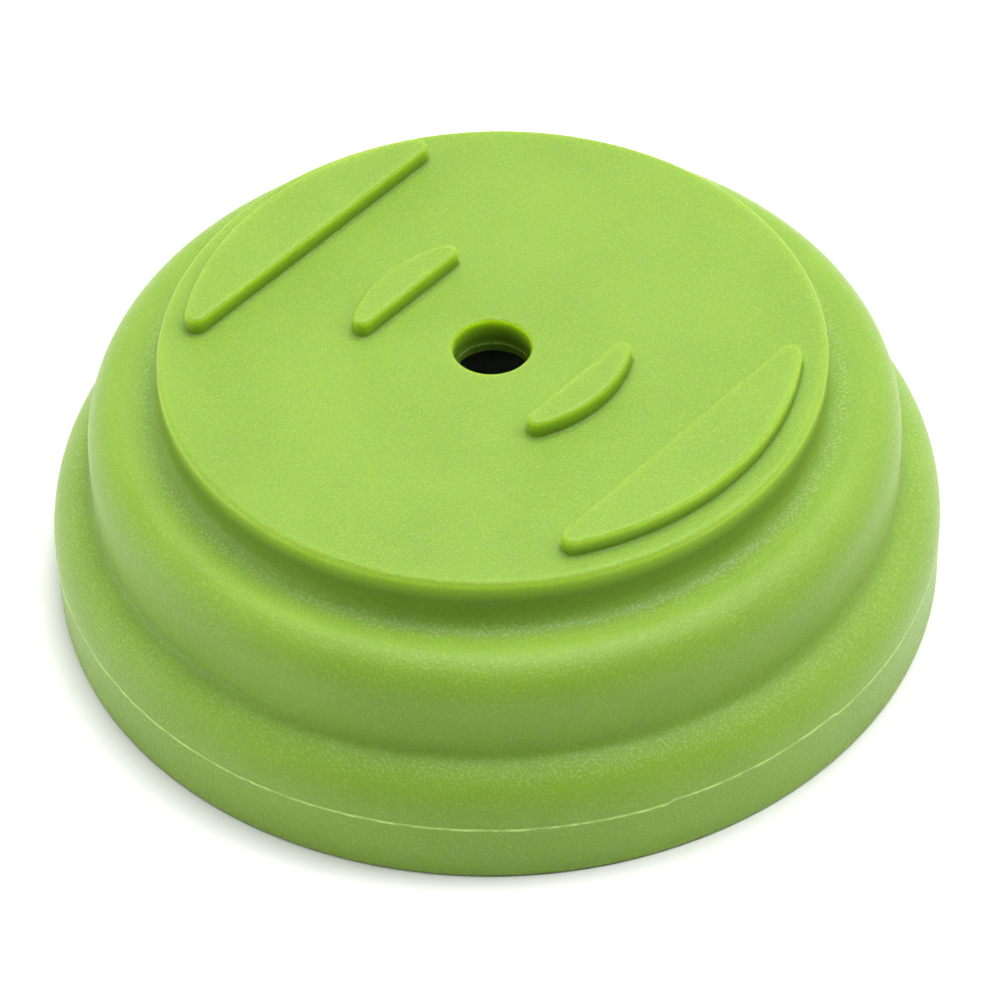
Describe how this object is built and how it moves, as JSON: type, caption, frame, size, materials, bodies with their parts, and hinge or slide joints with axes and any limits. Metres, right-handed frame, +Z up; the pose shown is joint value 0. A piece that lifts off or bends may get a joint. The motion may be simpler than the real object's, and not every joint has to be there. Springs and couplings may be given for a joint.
{
  "type": "wasp trap cap",
  "caption": "Soft stepped cap that fits over the rim of a drinking glass or jar and lets wasps in through a clear tube under its central hole.",
  "frame": {"origin": "on the cap's axis, in the plane of the rim that it stands on", "axes": "+Z up along the cap's axis; the straight edges of the four grip pads run along Y"},
  "size_m": [0.1, 0.1, 0.0337],
  "materials": {
    "soft_green": "fine spark-eroded matt, slightly translucent leaf green",
    "clear_plastic": "clear, smooth"
  },
  "bodies": {
    "cap_body": {"cap": "soft_green"},
    "tube_body": {"entry_tube": "clear_plastic"}
  },
  "joints": [
    {"name": "tube_pull", "type": "slide", "parent": "cap_body", "child": "tube_body", "axis": [0, 0, -1], "range_m": [0, 0.009]}
  ]
}
